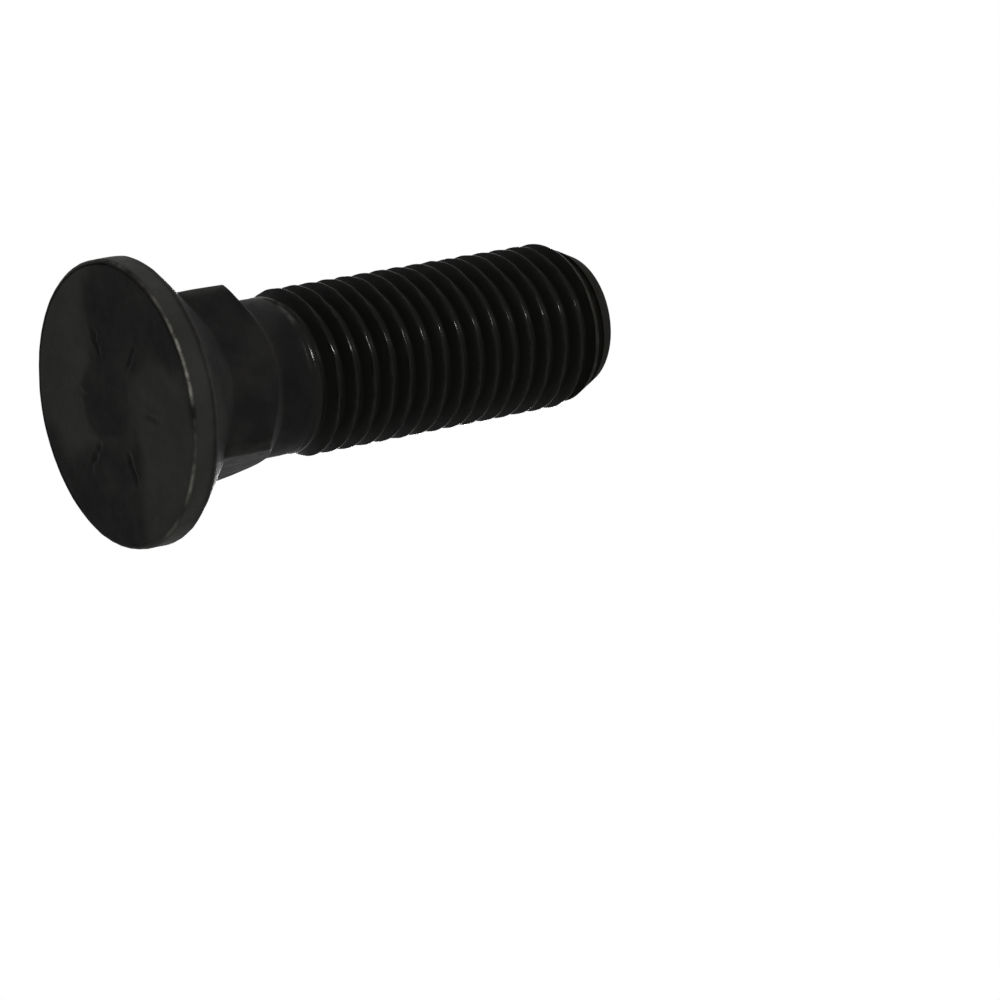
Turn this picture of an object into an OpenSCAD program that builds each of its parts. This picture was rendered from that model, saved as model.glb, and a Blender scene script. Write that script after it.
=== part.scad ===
// Plow bolt: 1 inch, 8 threads per inch, 3 1/4 inches long, with a countersunk head and a square neck.
// It is forged and rolled from one bar, so it is one solid. It stands on its head, the shank along +Z.
// The origin is the centre of the head's outer face, from which such a bolt's length is measured.

/* [Bolt] */
// Length from the head's outer face to the end of the thread
bolt_length = 82.55; // [60:0.05:160]

/* [Head] */
// Diameter of the head
head_d = 42; // [39:0.1:46]
// Height of the straight rim round the head
rim_h = 3.8; // [2:0.1:5]
// Angle between the countersunk cone and the bolt's axis
cone_angle = 45; // [40:1:50]
// Rounding of the edge between the outer face and the rim
face_edge_r = 0.6; // [0.2:0.05:1.2]
// Rounding of the edge between the rim and the cone
rim_edge_r = 1.0; // [0.2:0.05:1.5]

/* [Neck] */
// Width of the square across its flats
neck_w = 24.8; // [24.6:0.1:27]
// Diameter across the square's rounded corners
neck_corner_d = 33.7; // [32.4:0.1:34.6]
// Distance from the outer face to the end of the square's flats
neck_end = 20.4; // [18:0.1:23]
// Angle between the cone that ends the square and the bolt's axis
neck_end_angle = 45; // [35:1:60]

/* [Shank] */
// Diameter of the plain shank, which is the blank that the thread is rolled on
shank_d = 23.34; // [22.6:0.02:24.2]
// Distance from the outer face to where the first groove starts
shank_end = 25.6; // [24:0.1:30]

/* [Thread] */
// Diameter over the crests
thread_d = 25.1; // [24.6:0.05:25.4]
// Distance from one crest to the next
thread_pitch = 3.175; // [2:0.005:4]
// Angle between the two flanks of a groove
thread_angle = 60; // [55:1:60]
// Width of a crest's flat, as a share of the pitch
crest_flat = 0.125; // [0.08:0.005:0.2]
// Width of a root's flat, as a share of the pitch
root_flat = 0.25; // [0.15:0.005:0.3]
// Share of a turn over which the thread grows to its full height
runout = 0.5; // [0.2:0.05:1]
// Diameter of the flat end
end_d = 20; // [17:0.1:20.6]
// Angle between the end's chamfer and the bolt's axis
end_angle = 25; // [24:1:45]
// Turn of the thread about the axis, counted from the neck's flat on +X
thread_turn = 17; // [0:1:359]
// Flat steps in one turn of the thread
turn_steps = 44; // [32:4:56]

/* [Hidden] */

// Angle that one flat step of a rounded edge turns through
arc_step = 15;
// How far a piece runs on inside the one that it joins
overlap = 1;
// How much smaller the thread's blank is than the shank that it starts inside
blank_inset = 0.04;

head_r = head_d / 2;
shank_r = shank_d / 2;
crest_r = thread_d / 2;
end_r = end_d / 2;
flank_w = (1 - crest_flat - root_flat) / 2 * thread_pitch;
root_r = crest_r - flank_w / tan(thread_angle / 2);
blank_r = shank_r - blank_inset;
// Height of the thread's first row, a crest that stays within the shank. The first groove opens above it.
first_z = shank_end - crest_flat * thread_pitch - (crest_r - blank_r) * tan(thread_angle / 2);
base_z = first_z - overlap / 2;

// Points on an arc in the plane of a turned outline, from one angle to another.
function arc(centre, r, from, to) =
    let (steps = ceil(abs(to - from) / arc_step))
    [for (k = [0:steps]) let (a = from + (to - from) * k / steps) centre + r * [cos(a), sin(a)]];

// Height at which the countersunk cone has narrowed to the radius r.
function cone_z(r) = rim_h + (head_r - r) / tan(cone_angle);

// Smooth step from 0 to 1 as x goes from 0 to 1.
function ease(x) = let (t = min(max(x, 0), 1)) t * t * (3 - 2 * t);

// Forged head: a flat face, a straight rim and the cone that seats in the countersink.
module head() {
    inner_r = shank_r - overlap;
    tangent = rim_edge_r * tan(cone_angle / 2);
    outline = concat(
        [[0, 0]],
        arc([head_r - face_edge_r, face_edge_r], face_edge_r, -90, 0),
        arc([head_r - rim_edge_r, rim_h - tangent], rim_edge_r, 0, cone_angle),
        [[inner_r, cone_z(inner_r)], [0, cone_z(inner_r)]]
    );
    rotate_extrude($fn = 96) polygon(outline);
}

// Square neck that stops the bolt from turning, with rounded corners and a cone at its end.
module square_neck() {
    base_z = rim_h / 2;
    inner_r = shank_r - overlap;
    neck_h = neck_end + (neck_w / 2 - inner_r) / tan(neck_end_angle) - base_z;
    translate([0, 0, base_z])
        intersection() {
            linear_extrude(neck_h)
                intersection() {
                    square(neck_w, center = true);
                    circle(d = neck_corner_d, $fn = 96);
                }
            cylinder(h = neck_h, r1 = inner_r + neck_h * tan(neck_end_angle), r2 = inner_r, $fn = 96);
        }
}

// Plain round shank between the neck and the thread.
module plain_shank() {
    translate([0, 0, rim_h]) cylinder(h = shank_end - rim_h, d = shank_d, $fn = 96);
}

// Rolled right-hand thread on its core. Its rows of points climb along the helix, so each crest, flank
// and root is one strip, and a turn later a row meets the one a pitch above. It runs past the bolt's end.
module thread_helix() {
    // The outline's corners in one pitch: the height as a share of the pitch, and the radius there.
    corners = [
        [0, crest_r],
        [crest_flat, crest_r],
        [(1 - root_flat + crest_flat) / 2, root_r],
        [(1 + root_flat + crest_flat) / 2, root_r]
    ];
    per_turn = len(corners);
    turns = ceil((bolt_length - first_z) / thread_pitch);
    last = turns * per_turn;
    top_z = first_z + (turns + 1) * thread_pitch + overlap;

    function turned(r, z, step) = let (a = 360 * step / turn_steps) [r * cos(a), r * sin(a), z];
    function point(step, row) =
        let (
            turn = floor(row / per_turn) + step / turn_steps,
            corner = corners[row % per_turn],
            // A groove starts together with the crest above it, after the first turn.
            grown = ease((turn - (corner[1] < blank_r ? 0 : 1)) / runout),
            z = first_z + (turn + corner[0]) * thread_pitch
        )
        turned(blank_r + (corner[1] - blank_r) * grown, z, step);

    base_0 = turn_steps * (last + 1);
    top_0 = base_0 + turn_steps;
    seam_0 = top_0 + turn_steps;
    points = concat(
        [for (s = [0:turn_steps - 1], row = [0:last]) point(s, row)],
        [for (s = [0:turn_steps - 1]) turned(blank_r, base_z, s)],
        [for (s = [0:turn_steps - 1]) turned(crest_r, top_z, s)],
        [for (row = [last - per_turn + 1:last]) point(turn_steps, row)]
    );
    // Index of a grid point. After a full turn that is the point one pitch higher, or one of the seam's.
    function at(step, row) =
        step < turn_steps ? step * (last + 1) + row
        : row + per_turn <= last ? row + per_turn
        : seam_0 + row - (last - per_turn + 1);
    function base(step) = base_0 + step % turn_steps;
    function top(step) = top_0 + step % turn_steps;

    faces = concat(
        [for (s = [0:turn_steps - 1], row = [0:last - 1])
            [at(s, row), at(s, row + 1), at(s + 1, row + 1), at(s + 1, row)]],
        [for (s = [0:turn_steps - 2]) [at(s, 0), at(s + 1, 0), base(s + 1), base(s)]],
        [concat([at(turn_steps - 1, 0)],
            [for (row = [per_turn:-1:0]) at(0, row)], [base(0), base(turn_steps - 1)])],
        [for (s = [1:turn_steps - 1]) [at(s, last), top(s), top(s + 1), at(s + 1, last)]],
        [concat([at(1, last), at(0, last)],
            [for (row = [last - per_turn + 1:last]) at(turn_steps, row)], [top(0), top(1)])],
        [[for (s = [0:turn_steps - 1]) base(s)]],
        [[for (s = [turn_steps - 1:-1:0]) top(s)]]
    );
    polyhedron(points, faces, convexity = 10);
}

// Thread cut to the bolt's length, with a chamfered end.
module rolled_thread() {
    wide_r = crest_r + overlap;
    intersection() {
        rotate(thread_turn) thread_helix();
        rotate_extrude($fn = 96)
            polygon([
                [0, base_z - overlap],
                [wide_r, base_z - overlap],
                [wide_r, bolt_length - (wide_r - end_r) / tan(end_angle)],
                [end_r, bolt_length],
                [0, bolt_length]
            ]);
    }
}

module plow_bolt() {
    color("#1d1d1c") {
        head();
        square_neck();
        plain_shank();
        rolled_thread();
    }
}

plow_bolt();
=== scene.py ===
"""Plow bolt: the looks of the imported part, in its own frame. Lengths are in millimetres."""

import math

import bmesh
import bpy
from mathutils import Matrix, Vector, noise


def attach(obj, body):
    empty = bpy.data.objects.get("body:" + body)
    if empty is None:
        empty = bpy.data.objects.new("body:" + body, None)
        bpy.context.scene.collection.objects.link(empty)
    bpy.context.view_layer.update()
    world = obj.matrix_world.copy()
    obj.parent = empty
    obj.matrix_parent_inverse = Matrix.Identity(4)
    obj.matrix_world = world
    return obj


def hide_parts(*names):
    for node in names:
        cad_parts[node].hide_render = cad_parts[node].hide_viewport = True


MM = 0.001

# Head
HEAD_R = 21.0
RIM_H = 3.8
CONE_ANGLE = math.radians(45)
FACE_EDGE_R = 0.55
RIM_EDGE_R = 1.0
# How far forging leaves it untrue: long and short waves of the rim, the face's dish, broad and fine lumps
RIM_WAVES = (0.16, 0.05)
FACE_DISH = 0.06
FACE_LUMPS = (0.05, 0.025)
# Square neck
NECK_HALF = 12.4
NECK_CORNER_R = 1.7
NECK_END = 20.4
NECK_END_ANGLE = math.radians(45)
NECK_FOOT_R = 0.5
NECK_EDGE_R = 0.45
NECK_WAVES = 0.06
# Plain shank
SHANK_R = 11.67
SHANK_END = 25.6
SHANK_FOOT_R = 1.0
# Rolled thread
CREST_R = 12.55
PITCH = 3.175
CREST_W = PITCH * 0.09
ROOT_W = PITCH * 0.25
FLANK_W = (PITCH - CREST_W - ROOT_W) / 2
ROOT_R = 10.83
ROOT_EDGE_R = 0.45
CREST_EDGE_R = 0.12
FIRST_CREST = 24.87
THREAD_TURN = math.radians(17)
# The blank that it is rolled on, a little inside the plain shank
BLANK_R = SHANK_R - 0.03
# Share of a turn over which it grows to full height
RUNOUT = 0.5
# The ridge before it: its share of that height, and where it starts and how long it grows, in turns
RIDGE = 0.14
RIDGE_START = 0.2
RIDGE_GROWTH = 0.4
# How far a crest wanders outwards and along the axis
CREST_RAGGED = (0.09, 0.2)
# Flat end with its chamfer, cupped and lumpy
BOLT_L = 82.55
END_R = 10.0
END_ANGLE = math.radians(25)
END_EDGE_R = 0.5
END_DISH = 0.22
END_LUMPS = 0.1
# Heights between which the thread is made, from inside the shank to past the end
THREAD_SPAN = (SHANK_END - 1.5, BOLT_L + 1)
# Stamped strokes on the face: plain radial dashes
DASHES = 6
DASH_FIRST = math.radians(-62)
DASH_R = (6.8, 12.8)
DASH_W = 1.5
DASH_DEPTHS = (0.26, 0.2, 0.22, 0.16, 0.22, 0.18)
# How uneven they are: tilt in radians, shift of the ends, bend, wander of the sides, share of the depth
DASH_TILT = 0.06
DASH_ENDS = 1.2
DASH_BEND = 0.5
DASH_SIDES = 0.5
DASH_UNEVEN = 0.6
# Height of the lip round a stroke, as a share of its depth, and the most that it stands proud of the face
DASH_LIP = 0.2
LIP_MOST = 0.05
# Rows of the mesh on each stretch of the outlines, and on a rounded edge
FACE_ROWS = 70
RIM_ROWS = 6
CONE_ROWS = 14
NECK_ROWS = 14
NECK_END_ROWS = 6
SHANK_ROWS = 5
HALF_FLANK_ROWS = 2
END_ROWS = 14
ARC_ROWS = 5
THREAD_ARC_ROWS = 3
# Steps of the mesh in one turn
BODY_STEPS = 360
THREAD_STEPS = 96
END_STEPS = 192
# Distance within which points merge, and the angle from which an edge is sharp
MERGE = 0.002
SHARP_ANGLE = math.radians(32)

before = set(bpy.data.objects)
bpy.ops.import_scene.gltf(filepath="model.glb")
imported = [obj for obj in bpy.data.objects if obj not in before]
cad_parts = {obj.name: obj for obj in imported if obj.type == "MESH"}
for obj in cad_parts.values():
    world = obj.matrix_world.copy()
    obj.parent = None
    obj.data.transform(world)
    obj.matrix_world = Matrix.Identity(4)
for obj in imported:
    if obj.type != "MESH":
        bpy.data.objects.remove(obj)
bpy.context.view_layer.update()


def ease(x):
    """Smooth step from 0 to 1."""
    t = min(max(x, 0.0), 1.0)
    return t * t * (3 - 2 * t)


def wander(x, y, z):
    """Smooth random value, about -0.7 to 0.7, for forging that is never quite true. A factor on a coordinate
    is the number of lumps in a millimetre, and a plain number picks a pattern."""
    return noise.noise(Vector((x, y, z)))


# Turned outlines: points are (radius, height)


def rounded(points, radii, steps=ARC_ROWS):
    """The outline with each inner corner replaced by an arc, within its half of the stretches beside it."""
    out = [points[0]]
    for before, corner, after, r in zip(points, points[1:], points[2:], radii):
        if not r:
            out.append(corner)
            continue
        a, c, b = Vector(before), Vector(corner), Vector(after)
        to_a, to_b = (a - c).normalized(), (b - c).normalized()
        half = to_a.angle(to_b) / 2
        reach = min(r / math.tan(half), 0.45 * (a - c).length, 0.45 * (b - c).length)
        centre = c + (to_a + to_b).normalized() * (reach / math.cos(half))
        start, end = c + to_a * reach - centre, c + to_b * reach - centre
        turn = -start.angle_signed(end)
        out += [tuple(centre + Matrix.Rotation(turn * k / steps, 2) @ start) for k in range(steps + 1)]
    return out + [points[-1]]


def refined(points, pieces):
    """The outline with each stretch cut into its number of pieces."""
    out = [points[0]]
    for a, b, n in zip(points, points[1:], pieces):
        out += [tuple(Vector(a).lerp(Vector(b), k / n)) for k in range(1, n + 1)]
    return out


def neck_radius(angle):
    """Distance from the axis to the neck's rounded square, in the direction angle."""
    x, y = sorted((abs(math.cos(angle)), abs(math.sin(angle))), reverse=True)
    c = NECK_HALF - NECK_CORNER_R
    if y * NECK_HALF / x <= c:
        return NECK_HALF / x
    return c * (x + y) + math.sqrt(NECK_CORNER_R**2 - (c * (x - y)) ** 2)


def body_outline(angle):
    """Outline of head, neck and plain shank in one half-plane through the axis."""
    neck = neck_radius(angle)
    cone_z = RIM_H + (HEAD_R - neck) / math.tan(CONE_ANGLE)
    flat_z = NECK_END + (NECK_HALF - neck) / math.tan(NECK_END_ANGLE)
    shank_z = NECK_END + (NECK_HALF - SHANK_R) / math.tan(NECK_END_ANGLE)
    corners = [
        (0, 0), (HEAD_R, 0), (HEAD_R, RIM_H), (neck, cone_z), (neck, flat_z), (SHANK_R, shank_z),
        (SHANK_R, SHANK_END), (0, SHANK_END),
    ]
    line = rounded(corners, [FACE_EDGE_R, RIM_EDGE_R, NECK_FOOT_R, NECK_EDGE_R, SHANK_FOOT_R, 0])
    arc = [1] * ARC_ROWS
    rows = [FACE_ROWS]
    for stretch in (RIM_ROWS, CONE_ROWS, NECK_ROWS, NECK_END_ROWS, SHANK_ROWS):
        rows += [*arc, stretch]
    return refined(line, [*rows, 1])


def swept(bm, outline, angle, steps, rise=0.0):
    """Adds an outline to bm and spins it about Z, rising as it turns. The layer row numbers its points."""
    row = bm.verts.layers.int.new("row")
    verts = []
    for k, (r, z) in enumerate(outline):
        verts.append(bm.verts.new((r * MM, 0, z * MM)))
        verts[-1][row] = k
    edges = [bm.edges.new(pair) for pair in zip(verts, verts[1:])]
    bmesh.ops.spin(
        bm, geom=verts + edges, cent=(0, 0, 0), axis=(0, 0, 1), angle=angle, steps=steps,
        dvec=(0, 0, rise / steps * MM),
    )


def repeated(bm, count, turn=0.0, rise=0.0):
    """Adds copies of all that bm holds, each turned and raised from the last, and merges the seams."""
    first = bm.verts[:] + bm.edges[:] + bm.faces[:]
    for k in range(1, count):
        copy = bmesh.ops.duplicate(bm, geom=first)["geom"]
        verts = [v for v in copy if isinstance(v, bmesh.types.BMVert)]
        move = Matrix.Translation((0, 0, k * rise * MM)) @ Matrix.Rotation(k * turn, 4, "Z")
        bmesh.ops.transform(bm, matrix=move, verts=verts)
    bmesh.ops.remove_doubles(bm, verts=bm.verts, dist=MERGE * MM)
    bmesh.ops.recalc_face_normals(bm, faces=bm.faces)


def lathe(outline, steps):
    """A closed turned solid about Z, spun as a quarter that is copied round."""
    bm = bmesh.new()
    swept(bm, outline, math.tau / 4, steps // 4)
    repeated(bm, 4, turn=math.tau / 4)
    return bm


def dash_depth(x, y):
    """Depth of the stamped strokes at a place on the face, with the metal raised a little round them."""
    r, a = math.hypot(x, y), math.atan2(y, x)
    pitch = math.tau / DASHES
    k = round((a - DASH_FIRST) / pitch)
    off = r * math.sin(a - DASH_FIRST - k * pitch - DASH_TILT * wander(k * 4.1, 8.5, 0))
    past_inner = r - DASH_R[0] - DASH_ENDS * wander(k * 3.1, 1.5, 0)
    before_outer = DASH_R[1] + DASH_ENDS * wander(k * 2.3, 7.5, 0) - r
    ends = min(past_inner, before_outer)
    bent = off + DASH_BEND * wander(r * 0.4, k * 5.0, 3)
    side = DASH_W / 2 - abs(bent) + DASH_SIDES * wander(r * 0.8, off * 0.8, k * 3.0)
    strength = 1 + DASH_UNEVEN * wander(r * 0.35, k * 7.0, 2)
    dent = ease(side / 0.9) * ease(ends / 2.0)
    lip = ease((side + 1.0) / 1.0) * ease((ends + 0.8) / 2.0) - dent
    return strength * DASH_DEPTHS[k % DASHES] * (dent - DASH_LIP * lip)


def make_body():
    """Head, square neck and plain shank: one turned solid whose neck rows are drawn in to the square."""
    bm = lathe(body_outline(0), BODY_STEPS)
    row = bm.verts.layers.int["row"]
    outlines = {}
    for v in bm.verts:
        if v.co.xy.length < 1e-6:
            continue
        angle = math.atan2(v.co.y, v.co.x)
        column = round(angle, 4)
        if column not in outlines:
            outlines[column] = body_outline(angle)
        r, z = outlines[column][v[row]]
        x, y = r * math.cos(angle), r * math.sin(angle)
        if z < SHANK_END - 1:
            # The rim wanders as upset steel does, and the flats are a little wavy.
            near_rim = ease((r - HEAD_R + 2.5) / 2.5)
            long_wave = RIM_WAVES[0] * wander(x * 0.16, y * 0.16, 2.0)
            short_wave = RIM_WAVES[1] * wander(x * 0.7, y * 0.7, z * 0.5)
            r += near_rim * (long_wave + short_wave)
            behind = ease((z - RIM_H) / 3) * ease((SHANK_END - z) / 6)
            r += NECK_WAVES * wander(x * 0.3, y * 0.3, z * 0.3 + 11) * behind
        if v[row] <= FACE_ROWS + 2:
            z += max(dash_depth(x, y), -LIP_MOST)
            # The face is dished by a few hundredths, and lumpy from the die.
            inside = ease((HEAD_R - 1.0 - r) / 3)
            broad = FACE_LUMPS[0] * wander(x * 0.11, y * 0.11, 5.0)
            fine = FACE_LUMPS[1] * wander(x * 0.4, y * 0.4, 8.0)
            z += inside * (FACE_DISH + broad + fine)
        v.co = (r * math.cos(angle) * MM, r * math.sin(angle) * MM, z * MM)
    return bm


def helix(x, y, z):
    """Share of a turn past the thread's start, and the height there above the first crest, in pitches."""
    share = (math.atan2(y, x) - THREAD_TURN) / math.tau % 1
    return share, (z - FIRST_CREST) / PITCH - share


def make_thread():
    """Rolled thread on its core: one pitch of the outline, swept up a helix turn by turn."""
    rise = ROOT_W / 2 + FLANK_W
    level = ROOT_W / 2 + FLANK_W * (BLANK_R - ROOT_R) / (CREST_R - ROOT_R)
    corners = [
        (ROOT_R, 0), (ROOT_R, ROOT_W / 2), (BLANK_R, level), (CREST_R, rise), (CREST_R, PITCH - rise),
        (BLANK_R, PITCH - level), (ROOT_R, PITCH - ROOT_W / 2), (ROOT_R, PITCH),
    ]
    radii = [ROOT_EDGE_R, 0, CREST_EDGE_R, CREST_EDGE_R, 0, ROOT_EDGE_R]
    arc = [1] * THREAD_ARC_ROWS
    flank = [HALF_FLANK_ROWS] * 2
    rows = [1, *arc, *flank, *arc, 1, *arc, *flank, *arc, 1]
    line = refined(rounded(corners, radii, THREAD_ARC_ROWS), rows)
    start = FIRST_CREST - 1.5 * PITCH
    base, top = THREAD_SPAN
    bm = bmesh.new()
    swept(bm, line, math.tau, THREAD_STEPS, PITCH)
    repeated(bm, math.ceil((top - start) / PITCH) + 1, rise=PITCH)
    place = Matrix.Translation((0, 0, start * MM)) @ Matrix.Rotation(THREAD_TURN, 4, "Z")
    bmesh.ops.transform(bm, matrix=place, verts=bm.verts)
    for v in bm.verts:
        x, y, z = v.co / MM
        r = math.hypot(x, y)
        share, climb = helix(x, y, z)
        # A groove starts together with the crest above it. Below the first the steel only swells to a ridge.
        turned = share + (math.ceil(climb) if r < BLANK_R else round(climb))
        grown = ease((turned - 1) / RUNOUT)
        if r > BLANK_R:
            grown = max(grown, RIDGE * ease((turned - RIDGE_START) / RIDGE_GROWTH))
        proud = grown * (r - BLANK_R)
        # Rolling leaves the crests slightly ragged.
        high = max(proud / (CREST_R - BLANK_R), 0)
        proud += CREST_RAGGED[0] * high * wander(x * 0.6, y * 0.6, z * 0.6)
        v.co.xy *= (BLANK_R + proud) / r
        v.co.z += CREST_RAGGED[1] * high * wander(x * 0.5 + 9, y * 0.5, z * 0.5) * MM
    for z, up in ((base, -1), (top, 1)):
        bmesh.ops.bisect_plane(
            bm, geom=bm.verts[:] + bm.edges[:] + bm.faces[:], plane_co=(0, 0, z * MM), plane_no=(0, 0, up),
            clear_outer=True, dist=1e-7,
        )
        rim = [e for e in bm.edges if e.is_boundary and abs(e.verts[0].co.z - z * MM) < 1e-6]
        bmesh.ops.edgeloop_fill(bm, edges=rim)
    bmesh.ops.recalc_face_normals(bm, faces=bm.faces)
    return bm


def make_blank():
    """The rod that the thread lies within: it gives it its chamfered end, which rolling has cupped."""
    full = CREST_R + 1
    chamfer_z = BOLT_L - (full - END_R) / math.tan(END_ANGLE)
    base = SHANK_END - 3
    corners = [(0, base), (full, base), (full, chamfer_z), (END_R, BOLT_L), (0, BOLT_L)]
    line = rounded(corners, [0, 0, END_EDGE_R])
    bm = lathe(refined(line, [1] * (len(line) - 2) + [END_ROWS]), END_STEPS)
    for v in bm.verts:
        x, y, z = v.co / MM
        inside = ease((END_R - 0.8 - math.hypot(x, y)) / 4) if z > BOLT_L - 0.01 else 0
        v.co.z -= inside * (END_DISH + END_LUMPS * wander(x * 0.3, y * 0.3, 1.0)) * MM
    return bm


def as_object(bm, name):
    """An object in the scene with bm as its mesh."""
    mesh = bpy.data.meshes.new(name)
    bm.to_mesh(mesh)
    bm.free()
    obj = bpy.data.objects.new(name, mesh)
    bpy.context.scene.collection.objects.link(obj)
    return obj


def boolean(obj, tool, operation):
    """Joins or cuts obj with tool and takes tool away."""
    mod = obj.modifiers.new("join", "BOOLEAN")
    mod.operation, mod.solver, mod.object = operation, "MANIFOLD", tool
    bpy.context.view_layer.update()
    mesh = bpy.data.meshes.new_from_object(obj.evaluated_get(bpy.context.evaluated_depsgraph_get()))
    obj.modifiers.clear()
    old, obj.data = obj.data, mesh
    bpy.data.meshes.remove(old)
    bpy.data.objects.remove(tool)


def make_bolt():
    """The whole bolt as one closed mesh: the thread cut to its end and joined to the body."""
    obj = as_object(make_thread(), "bolt")
    boolean(obj, as_object(make_blank(), "blank"), "INTERSECT")
    boolean(obj, as_object(make_body(), "body"), "UNION")
    obj.data.name = "bolt"
    bm = bmesh.new()
    bm.from_mesh(obj.data)
    bmesh.ops.dissolve_degenerate(bm, edges=bm.edges, dist=MERGE * MM)
    bmesh.ops.triangulate(bm, faces=[f for f in bm.faces if len(f.verts) > 4])
    bm.to_mesh(obj.data)
    bm.free()
    obj.data.shade_smooth()
    obj.data.set_sharp_from_angle(angle=SHARP_ANGLE)
    return obj


bolt = make_bolt()


# Paint guides on the vertices: shares from 0 to 1, which fade over the distances that they divide by

# Directions on the head, from +X: where the painted sheen on the face is palest, and where the face's edge
# is bare most, as a painted glint
SHEEN_WAY = math.radians(-34)
GLINT_WAY = math.radians(-92)
# How bare the face's edge is: all round from rubbing, on one side as a painted glint, and in spots from
# rubbing
EDGE_WEAR = 0.2
SIDE_GLINT = 0.8
SPOT_WEAR = 0.4
# The same for the rim's other edge and the neck's corners
RIM_WEAR = 0.03
CORNER_WEAR = 0.05
# How pale the scale is on neck and shank, how much paler on the rim as painted light, and on the flat end
# with its patches
BODY_TONE = 0.1
RIM_PAINTED_LIGHT = 0.8
END_TONE = 0.45
END_PATCHES = 0.3
# The same for the face, with the strength of its painted sheen and shade, and the place, radius and share of
# tone of its darker middle
FACE_TONE = 0.5
FACE_SHEEN = 0.36
MIDDLE_AT = (-1.6, 2.2)
MIDDLE_R = 5.2
MIDDLE_TONE = 0.2


def edge_wear(x, y, z):
    """Where handling rubs the black off: the rim's two edges and the neck's corners. On one side of the
    face's edge the bare steel is a painted glint.
    """
    r, angle = math.hypot(x, y), math.atan2(y, x)
    # The face's edge is bare most on one side: a painted glint.
    glint_side = ease((math.cos(angle - GLINT_WAY) - 0.93) / 0.06)
    worn_and_glint = EDGE_WEAR + SIDE_GLINT * glint_side + SPOT_WEAR * wander(x * 0.25, y * 0.25, 4)
    face_edge = worn_and_glint * ease(1 - math.hypot(r - HEAD_R + 0.12, z - 0.12) / 0.42)
    rim_edge = RIM_WEAR * ease(1 - math.hypot(r - HEAD_R, z - RIM_H) / 0.9)
    past_cone = z - RIM_H - (HEAD_R - r) / math.tan(CONE_ANGLE)
    corner = CORNER_WEAR * ease((r - NECK_HALF * 1.33) / 0.4) * ease((past_cone - 0.4) / 0.8)
    return max(face_edge, rim_edge, corner, 0)


def tone_and_painted_light(x, y, z):
    """How pale the scale is, with painted light: the rim is painted paler all round, the face has a painted
    sheen and shade across it and is darker in the middle, and the flat end is patchy.
    """
    r, angle = math.hypot(x, y), math.atan2(y, x)
    if z > BOLT_L - 0.6 and r < END_R:
        return END_TONE + END_PATCHES * wander(x * 0.25, y * 0.25, 2)
    if z > 0.4:
        # The rim is painted paler all round: painted light standing in for the light on its top.
        return BODY_TONE + RIM_PAINTED_LIGHT * ease((r - HEAD_R + 1.0) / 0.8) * ease((RIM_H - 0.4 - z) / 0.6)
    # Painted sheen and shade on the face: paler in two opposite sectors, darker between them, fading towards
    # the middle.
    twist = 0.05 * (HEAD_R - r)
    sheen = math.cos(2 * (angle - SHEEN_WAY + twist) + 1.0 * wander(x * 0.12, y * 0.12, 3))
    pale_and_sheen = FACE_TONE + FACE_SHEEN * (2 * ease(sheen / 0.8 + 0.5) - 1) * ease((r - 4) / 5)
    middle = math.hypot(x - MIDDLE_AT[0], y - MIDDLE_AT[1]) - MIDDLE_R - 1.5 * wander(x * 0.2, y * 0.2, 6)
    return pale_and_sheen * (MIDDLE_TONE + (1 - MIDDLE_TONE) * ease(middle / 2.0))


def on_end(x, y, z):
    """1 on the flat end, inside its rounded edge."""
    return ease((END_R - math.hypot(x, y)) / 0.6) if z > BOLT_L - 0.6 else 0.0


def oil(x, y, z):
    """Where the thread is rolled and oiled: from the first groove's edge on."""
    share, climb = helix(x, y, z)
    thread = max(ease(share / RUNOUT) * ease((climb - 0.2) / 0.08), ease((climb - 1.2) / 0.08))
    return thread * (1 - on_end(x, y, z))


def burnish(x, y, z):
    """Where rolling polished the steel: the crests, and the end of the shank along the first groove."""
    r, climb = math.hypot(x, y), helix(x, y, z)[1]
    if r < SHANK_R - 0.1 or z < NECK_END:
        return 0.0
    shoulder = ease((climb + 0.35) / 0.2) * ease((0.3 - climb) / 0.1)
    crest = ease((r - CREST_R + 0.25) / 0.2) if z > SHANK_END - 1 else 0.0
    return max(crest, shoulder)


def cut_chamfer(x, y, z):
    """The chamfer, which was cut before the bolt was blackened."""
    chamfer_h = (CREST_R - END_R) / math.tan(END_ANGLE)
    return ease((z - BOLT_L + chamfer_h) / 1.0) * (1 - on_end(x, y, z))


GUIDES = {"edge": edge_wear, "tone_and_light": tone_and_painted_light, "oiled": oil, "burnished": burnish, "cut": cut_chamfer}
for name, guide in GUIDES.items():
    layer = bolt.data.attributes.new(name, "FLOAT", "POINT")
    layer.data.foreach_set("value", [guide(*(v.co / MM)) for v in bolt.data.vertices])


# Materials

SCALE_DARK = "#131313"
# Pale scale, also the colour of the painted sheen on the face and the painted light on the rim
SCALE_PALE_AND_LIGHT = "#2b2b29"
RUST = "#231f16"
OIL_BLACK = "#161615"
CUT_END = "#0b0a06"
BURNISHED = "#1b1b1a"
# Bare steel where edges are rubbed, and on one side of the face's edge a painted glint
BARE_AND_GLINT = "#8a8880"
# Tint of what it mirrors at a glancing angle, where bare steel would mirror nearly all
GLANCE = "#bcbcbc"
# How much the scale mirrors, and how rough each finish is
SCALE_GLOSS = 0.02
SCALE_ROUGH = (0.48, 0.6)
OILED_ROUGH = 0.34
CUT_ROUGH = 0.7
BURNISHED_ROUGH = 0.12
# Patterns of the finish: width of a lump, levels of detail and how strong the finer ones are
CLOUDS = (9, 5, 0.6)
BLOOM = (5, 6, 0.65)
MOTTLE = (1.6, 5, 0.6)
GRAIN = (0.28, 3, 0.5)
# Height of the relief of mottle and grain, and the share of it that is left on the thread
MOTTLE_H = 0.05
GRAIN_H = 0.02
OILED_RELIEF = 0.45


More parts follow.
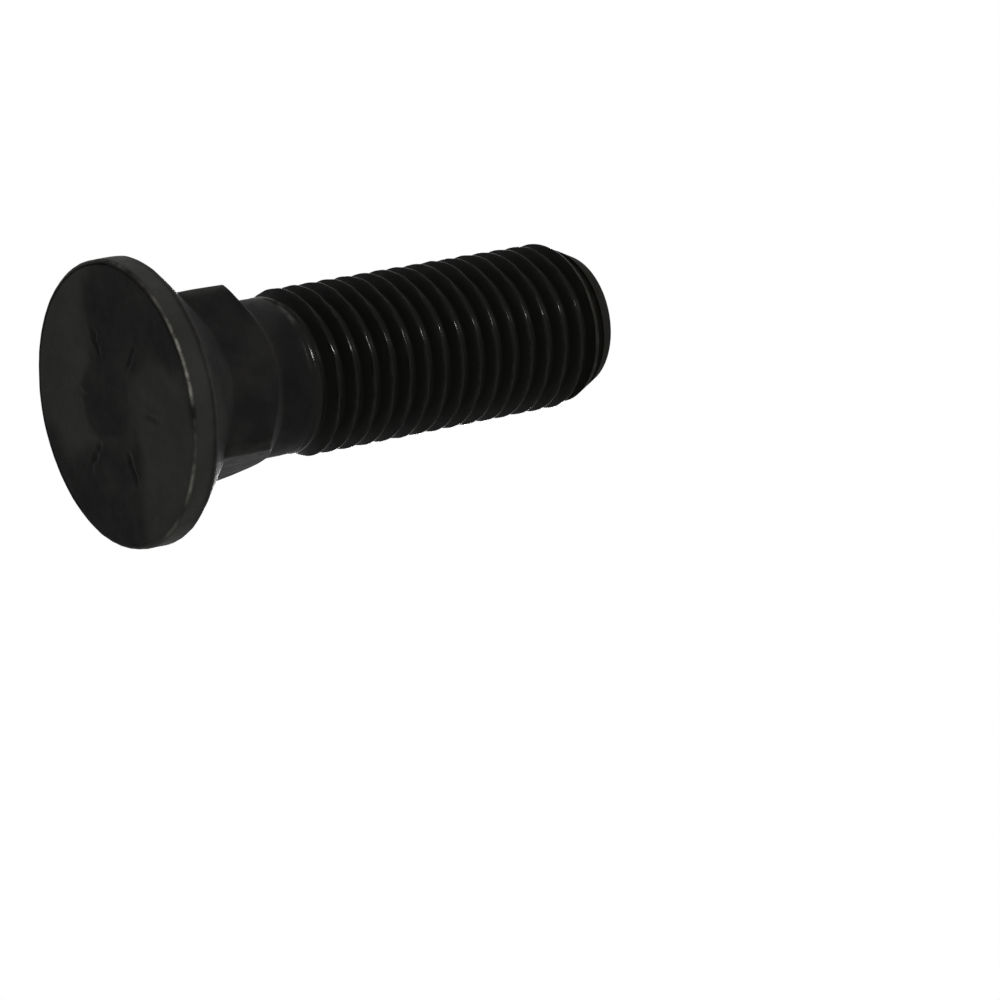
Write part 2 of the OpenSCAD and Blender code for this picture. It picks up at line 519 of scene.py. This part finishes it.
def srgb(code):
    """Linear colour of an sRGB hex code."""
    parts = [int(code[i : i + 2], 16) / 255 for i in (1, 3, 5)]
    return (*[c / 12.92 if c <= 0.04045 else ((c + 0.055) / 1.055) ** 2.4 for c in parts], 1)


def node(tree, kind, inputs=(), out=0, **settings):
    """Adds a node with its settings, links or sets its inputs, and returns one of its outputs. Inputs go by
    name, or by number where names repeat."""
    n = tree.nodes.new(kind)
    for key, value in settings.items():
        setattr(n, key, value)
    for key, value in dict(inputs).items():
        if isinstance(value, bpy.types.NodeSocket):
            tree.links.new(value, n.inputs[key])
        else:
            n.inputs[key].default_value = value
    return n.outputs[out]


def per_mm(size):
    """Scale of a pattern whose lumps are size millimetres across."""
    return 1 / (size * MM)


def black_steel():
    """Forged steel under a black heat-treat finish. Scale from the furnace leaves it dull and cloudy on the
    head and neck, and oil from rolling leaves it smooth and black on the thread, where the polished crests
    glint. Edges rubbed bare show as thin grey lines. The scale's tone also carries painted light, a paler
    rim and a sheen and shade across the face, and on one side of the face's edge the bare steel is a painted
    glint."""
    mat = bpy.data.materials.new("black_steel")
    mat.use_nodes = True
    tree = mat.node_tree
    shader = tree.nodes["Principled BSDF"]
    where = node(tree, "ShaderNodeTexCoord", out="Object")
    edge, tone_and_light, oiled, burnished, cut = (
        node(tree, "ShaderNodeAttribute", out="Fac", attribute_name=name) for name in GUIDES
    )
    patterns = []
    for width, detail, fine in (CLOUDS, BLOOM, MOTTLE, GRAIN):
        look = {"Vector": where, "Scale": per_mm(width), "Detail": detail, "Roughness": fine}
        patterns.append(node(tree, "ShaderNodeTexNoise", look, "Fac"))
    clouds, bloom, mottle, grain = patterns

    # Where each finish shows: clouds of scale with the painted light in its tone, rust, the cut chamfer,
    # polished crests, and bare edges with a painted glint.
    # The tone guide carries painted light: the rim painted paler, and a painted sheen and shade on the face.
    cloudy_and_lit = node(tree, "ShaderNodeMapRange", {0: clouds, 1: 0.35, 2: 0.65, 3: -0.2, 4: 0.2})
    cloudy_and_lit = node(tree, "ShaderNodeMath", {0: tone_and_light, 1: cloudy_and_lit}, operation="ADD", use_clamp=True)
    rusty = node(tree, "ShaderNodeMapRange", {0: bloom, 1: 0.55, 2: 0.75, 3: 0, 4: 0.25})
    brown = node(tree, "ShaderNodeMapRange", {0: mottle, 1: 0.3, 2: 0.6, 3: 0.5, 4: 1})
    brown = node(tree, "ShaderNodeMath", {0: brown, 1: cut}, operation="MULTIPLY")
    polished = node(tree, "ShaderNodeMapRange", {0: mottle, 1: 0.36, 2: 0.6, 3: 0.3, 4: 1})
    polished = node(tree, "ShaderNodeMath", {0: polished, 1: burnished}, operation="MULTIPLY")
    # Bare steel: rubbed edges, and a painted glint on one side of the face's edge.
    worn_and_glint = node(tree, "ShaderNodeMapRange", {0: mottle, 1: 0.36, 2: 0.64, 3: 0.2, 4: 1})
    worn_and_glint = node(tree, "ShaderNodeMath", {0: worn_and_glint, 1: edge}, operation="MULTIPLY")

    # Colour: each finish over the last. Polished and bare steel show as metal.
    colour = srgb(SCALE_DARK)
    layers = (
        (cloudy_and_lit, SCALE_PALE_AND_LIGHT), (rusty, RUST), (oiled, OIL_BLACK), (brown, CUT_END), (polished, BURNISHED),
        (worn_and_glint, BARE_AND_GLINT),
    )
    for share, code in layers:
        colour = node(tree, "ShaderNodeMix", {0: share, 6: colour, 7: srgb(code)}, 2, data_type="RGBA")
    tree.links.new(colour, shader.inputs["Base Color"])
    metal = node(tree, "ShaderNodeMath", {0: worn_and_glint, 1: polished}, operation="MAXIMUM")
    tree.links.new(metal, shader.inputs["Metallic"])

    # Gloss: dull scale that hardly mirrors the room, a satin thread, a dull chamfer and glinting crests.
    least, most = SCALE_ROUGH
    rough = node(tree, "ShaderNodeMapRange", {0: mottle, 1: 0.3, 2: 0.7, 3: least, 4: most})
    for share, value in ((oiled, OILED_ROUGH), (cut, CUT_ROUGH), (polished, BURNISHED_ROUGH)):
        rough = node(tree, "ShaderNodeMix", {0: share, 2: rough, 3: value})
    tree.links.new(rough, shader.inputs["Roughness"])
    shader.inputs["Specular IOR Level"].default_value = SCALE_GLOSS
    shader.inputs["Specular Tint"].default_value = srgb(GLANCE)

    # Relief: the pits of scale, smoothed on the thread.
    pits = node(tree, "ShaderNodeMath", {0: mottle, 1: MOTTLE_H}, operation="MULTIPLY")
    pits = node(tree, "ShaderNodeMath", {0: grain, 1: GRAIN_H, 2: pits}, operation="MULTIPLY_ADD")
    strength = node(tree, "ShaderNodeMapRange", {0: oiled, 3: 1, 4: OILED_RELIEF})
    relief = node(tree, "ShaderNodeBump", {"Strength": strength, "Distance": MM, "Height": pits})
    tree.links.new(relief, shader.inputs["Normal"])
    return mat


bolt.data.materials.clear()
bolt.data.materials.append(black_steel())
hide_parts("plow_bolt")
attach(bolt, "root")


# Stage

FLOOR_CARD = "#dcdcdc"
FLOOR_ROUGH = 0.9
# Distances from the axis between which the floor fades away
FLOOR_FADE = (160, 340)
ROOM_GREY = "#c4c4c4"
ROOM_WHITE = "#ffffff"
# Height on the bolt that the lamps aim at
AIM_H = 40
# Lamps: azimuth and elevation in degrees, distance, width, and power in watts
LAMPS = {
    # A small one that sparks on the crests
    "glint": (-10.5, 31, 600, 40, 1.7),
    # Broad light on the side that is up in the photograph, and its bounce on the other
    "top": (-75, 10, 700, 500, 1.8),
    "bounce": (75, -25, 800, 600, 1.0),
    # Light for the far side and the flat end
    "rear": (-172, 35, 800, 200, 2.5),
    "overhead": (0, 89, 700, 250, 1.0),
}
# Camera: where it stands, the azimuth, elevation and roll of its back in degrees, and its lens
CAMERA_AT = (91.70, -512.97, -306.39)
CAMERA_WAY = (7.415, -35.316)
CAMERA_ROLL = 77.874
LENS = 152.19
SENSOR_W = 36.0


def stage_floor():
    """White matt card, to hold the bolt's shadow. It fades into the white room, and from below it isn't
    there, so that the face it stands on can be seen."""
    near, far = (d * MM for d in FLOOR_FADE)
    bm = bmesh.new()
    bmesh.ops.create_grid(bm, x_segments=1, y_segments=1, size=far)
    floor = as_object(bm, "floor")
    mat = bpy.data.materials.new("floor")
    mat.use_nodes = True
    tree = mat.node_tree
    shader = tree.nodes["Principled BSDF"]
    shader.inputs["Base Color"].default_value = srgb(FLOOR_CARD)
    shader.inputs["Roughness"].default_value = FLOOR_ROUGH
    where = node(tree, "ShaderNodeTexCoord", out="Object")
    away = node(tree, "ShaderNodeVectorMath", {0: where}, "Value", operation="LENGTH")
    faded = node(tree, "ShaderNodeMapRange", {0: away, 1: near, 2: far}, interpolation_type="SMOOTHSTEP")
    under = node(tree, "ShaderNodeNewGeometry", out="Backfacing")
    gone = node(tree, "ShaderNodeMath", {0: faded, 1: under}, operation="MAXIMUM")
    clear = node(tree, "ShaderNodeBsdfTransparent")
    both = node(tree, "ShaderNodeMixShader", {0: gone, 1: shader.outputs[0], 2: clear})
    tree.links.new(both, tree.nodes["Material Output"].inputs["Surface"])
    floor.data.materials.append(mat)
    floor.visible_shadow = floor.visible_diffuse = floor.visible_glossy = floor.visible_transmission = False


def direction(azimuth, elevation):
    """Unit vector away from the bolt: the azimuth in degrees from -Y towards +X, and the elevation."""
    a, e = math.radians(azimuth), math.radians(elevation)
    return Vector((math.sin(a) * math.cos(e), -math.cos(a) * math.cos(e), math.sin(e)))


def soft_light(name, azimuth, elevation, distance, width, watts):
    """A square lamp that faces the bolt."""
    back = direction(azimuth, elevation)
    data = bpy.data.lights.new(name, "AREA")
    data.shape, data.size, data.energy = "SQUARE", width * MM, watts
    lamp = bpy.data.objects.new(name, data)
    lamp.location = (Vector((0, 0, AIM_H)) + back * distance) * MM
    lamp.rotation_euler = back.to_track_quat("Z", "Y").to_euler()
    bpy.context.scene.collection.objects.link(lamp)


def set_world():
    """White to the eye and to gloss, a plain grey room to everything else."""
    world = bpy.data.worlds.new("room")
    bpy.context.scene.world = world
    world.use_nodes = True
    tree = world.node_tree
    back = tree.nodes["Background"]
    rays = ("Is Camera Ray", "Is Glossy Ray", "Is Transmission Ray")
    eye, gloss, through = (node(tree, "ShaderNodeLightPath", out=ray) for ray in rays)
    seen = node(tree, "ShaderNodeMath", {0: eye, 1: gloss}, operation="MAXIMUM")
    seen = node(tree, "ShaderNodeMath", {0: seen, 1: through}, operation="MAXIMUM")
    grey, white = srgb(ROOM_GREY), srgb(ROOM_WHITE)
    shade = node(tree, "ShaderNodeMix", {0: seen, 6: grey, 7: white}, 2, data_type="RGBA")
    tree.links.new(shade, back.inputs["Color"])
    back.inputs["Strength"].default_value = 1.0


def set_camera():
    """The photograph's view: the bolt lies to the right and away, seen from the head's side."""
    data = bpy.data.cameras.new("camera")
    data.sensor_width, data.lens = SENSOR_W, LENS
    cam = bpy.data.objects.new("camera", data)
    level = direction(*CAMERA_WAY).to_track_quat("Z", "Y").to_matrix()
    turn = level @ Matrix.Rotation(math.radians(CAMERA_ROLL), 3, "Z")
    cam.matrix_world = Matrix.Translation(Vector(CAMERA_AT) * MM) @ turn.to_4x4()
    bpy.context.scene.collection.objects.link(cam)
    bpy.context.scene.camera = cam


stage_floor()
for name, setting in LAMPS.items():
    soft_light(name, *setting)
set_world()
set_camera()
bpy.context.scene.view_settings.view_transform = "Standard"
